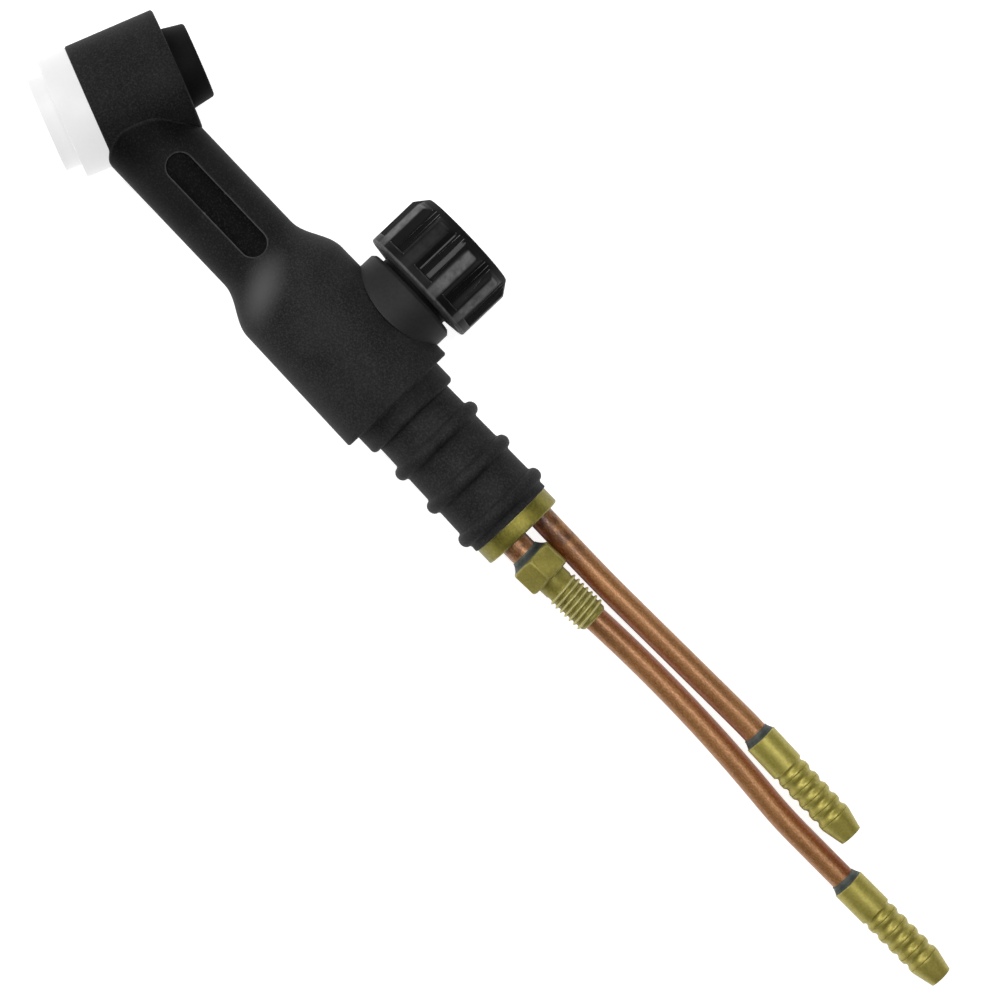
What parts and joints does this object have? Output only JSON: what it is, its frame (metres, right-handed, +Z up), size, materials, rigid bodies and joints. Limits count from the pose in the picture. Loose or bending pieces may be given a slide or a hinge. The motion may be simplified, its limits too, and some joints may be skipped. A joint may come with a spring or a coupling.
{
  "type": "tig torch",
  "caption": "Water-cooled TIG welding torch head with a bendable neck, a gas valve knob, a ribbed handle spigot, copper tubes and brass hose barbs.",
  "frame": {"origin": "where the head axis crosses the handle axis, inside the collet bore", "axes": "+X along the handle axis towards the tubes, +Y towards the valve knob, +Z up with the torch lying on its side"},
  "size_m": [0.2156, 0.0405, 0.0222],
  "materials": {
    "black_rubber": "matte moulded silicone rubber",
    "black_plastic": "satin black moulding",
    "grey_black_plastic": "matte dark grey moulding",
    "knob_plastic": "semi-gloss black with rubbed edges",
    "white_ptfe": "machined white PTFE",
    "copper": "drawn copper tube, brown with age",
    "brass": "turned brass, dull",
    "solder": "dull grey solder",
    "dark_resin": "black potting resin"
  },
  "bodies": {
    "head": {"torch_body": "copper", "water_jacket": "copper", "head_shell": "black_rubber", "heat_shield": "white_ptfe", "rear_collar": "black_plastic"},
    "neck": {"neck_sleeve": "black_rubber", "neck_gas_tube": "copper", "neck_water_tube": "copper", "neck_power_tube": "copper"},
    "valve_body": {"valve_housing": "black_rubber", "valve_boss": "grey_black_plastic", "valve_block": "brass", "valve_seat": "white_ptfe", "stem_packing": "white_ptfe", "gland_nut": "black_plastic", "handle_spigot": "black_rubber", "end_ring": "brass", "end_potting": "dark_resin", "gas_tube": "copper", "gas_solder": "solder", "gas_barb": "brass", "water_tube": "copper", "water_solder": "solder", "water_barb": "brass", "power_stub": "copper", "power_solder": "solder", "power_connector": "brass"},
    "stem_seal": {"stem_o_ring": "black_rubber"},
    "knob": {"valve_stem": "brass", "valve_knob": "knob_plastic", "knob_insert": "brass"}
  },
  "joints": [
    {"name": "neck_side_bend", "type": "hinge", "parent": "valve_body", "child": "neck", "pos_m": [0.03053, 0, 0], "axis": [0, 1, 0], "range_deg": [-30, 30], "deforming": ["neck_sleeve", "neck_gas_tube", "neck_water_tube", "neck_power_tube"]},
    {"name": "neck_bend", "type": "hinge", "parent": "neck", "child": "head", "pos_m": [0.01953, 0, 0], "axis": [0, 0, 1], "range_deg": [-30, 30], "deforming": ["neck_sleeve", "neck_gas_tube", "neck_water_tube", "neck_power_tube"]},
    {"name": "stem_lift", "type": "slide", "parent": "valve_body", "child": "stem_seal", "axis": [0, 1, 0], "range_m": [-0.0004, 0.0008]},
    {"name": "knob_turn", "type": "hinge", "parent": "stem_seal", "child": "knob", "pos_m": [0.05798, 0, 0], "axis": [0, 1, 0], "range_deg": [-180, 360]}
  ],
  "couplings": [
    {"joint": "stem_lift", "follows": "knob_turn", "m_per_rad": 0.00012732}
  ]
}
